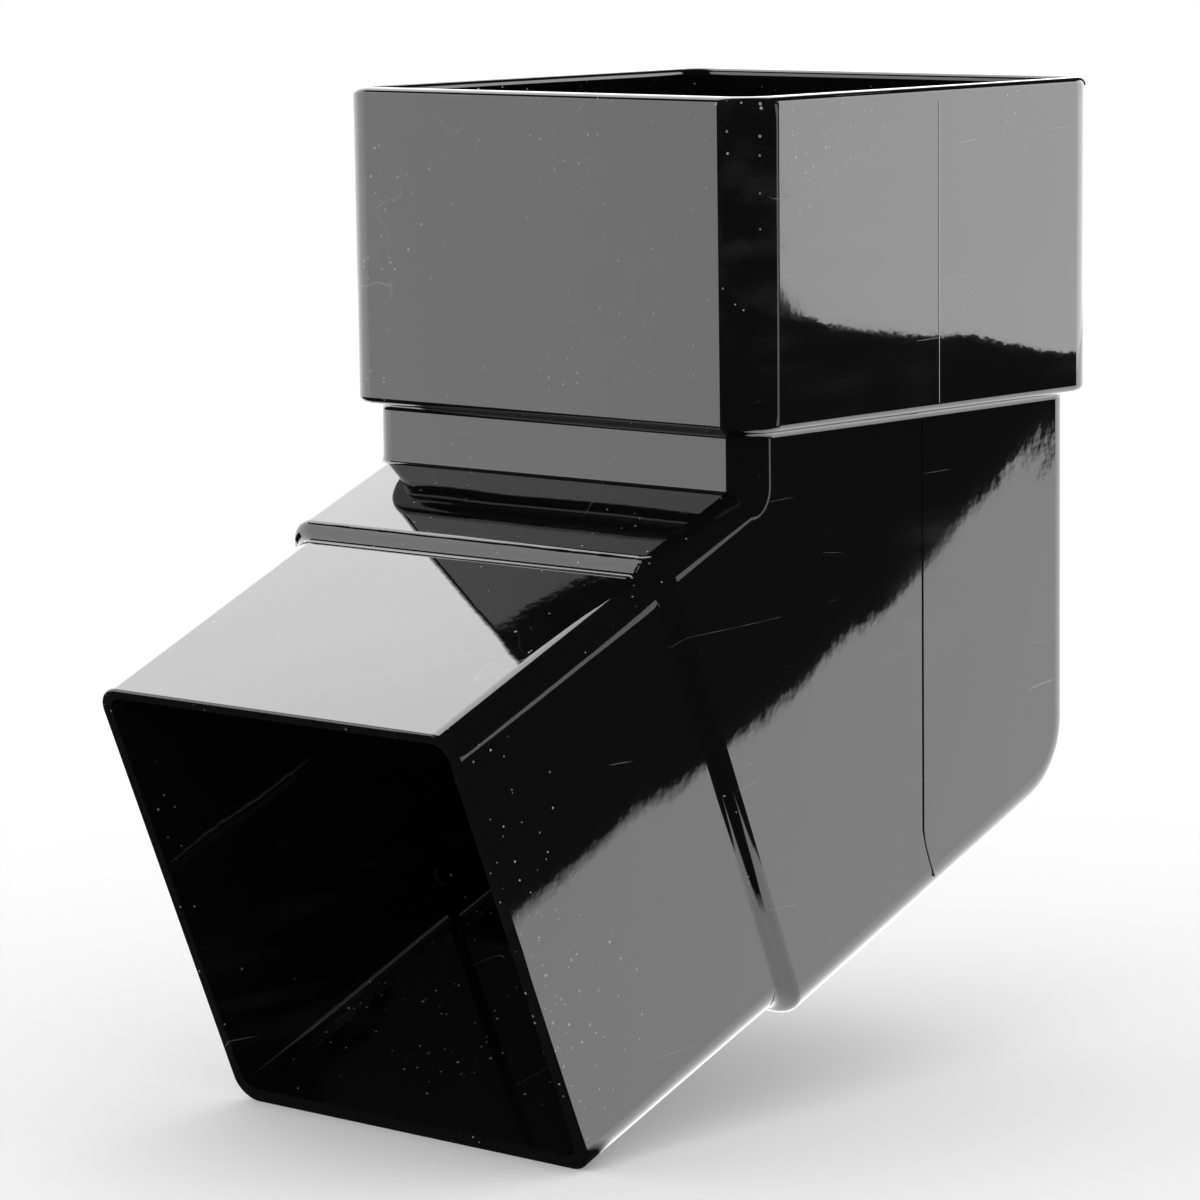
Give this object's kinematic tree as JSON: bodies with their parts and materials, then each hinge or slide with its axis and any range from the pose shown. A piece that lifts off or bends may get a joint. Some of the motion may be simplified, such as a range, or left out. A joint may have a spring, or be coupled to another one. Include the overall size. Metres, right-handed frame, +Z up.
{
  "type": "downpipe offset bend",
  "caption": "Square rainwater downpipe offset bend moulded in one piece: a socket for the upper pipe, a bent body and a spigot that slopes down into the lower pipe.",
  "frame": {"origin": "middle of the ledge inside the socket, on which the upper pipe stands", "axes": "+Z up the socket's axis, -Y to the side on which the arm slopes down, X across"},
  "size_m": [0.0702, 0.1183, 0.1276],
  "materials": {
    "black_plastic": "gloss"
  },
  "bodies": {
    "root": {"offset_bend": "black_plastic"}
  },
  "joints": []
}
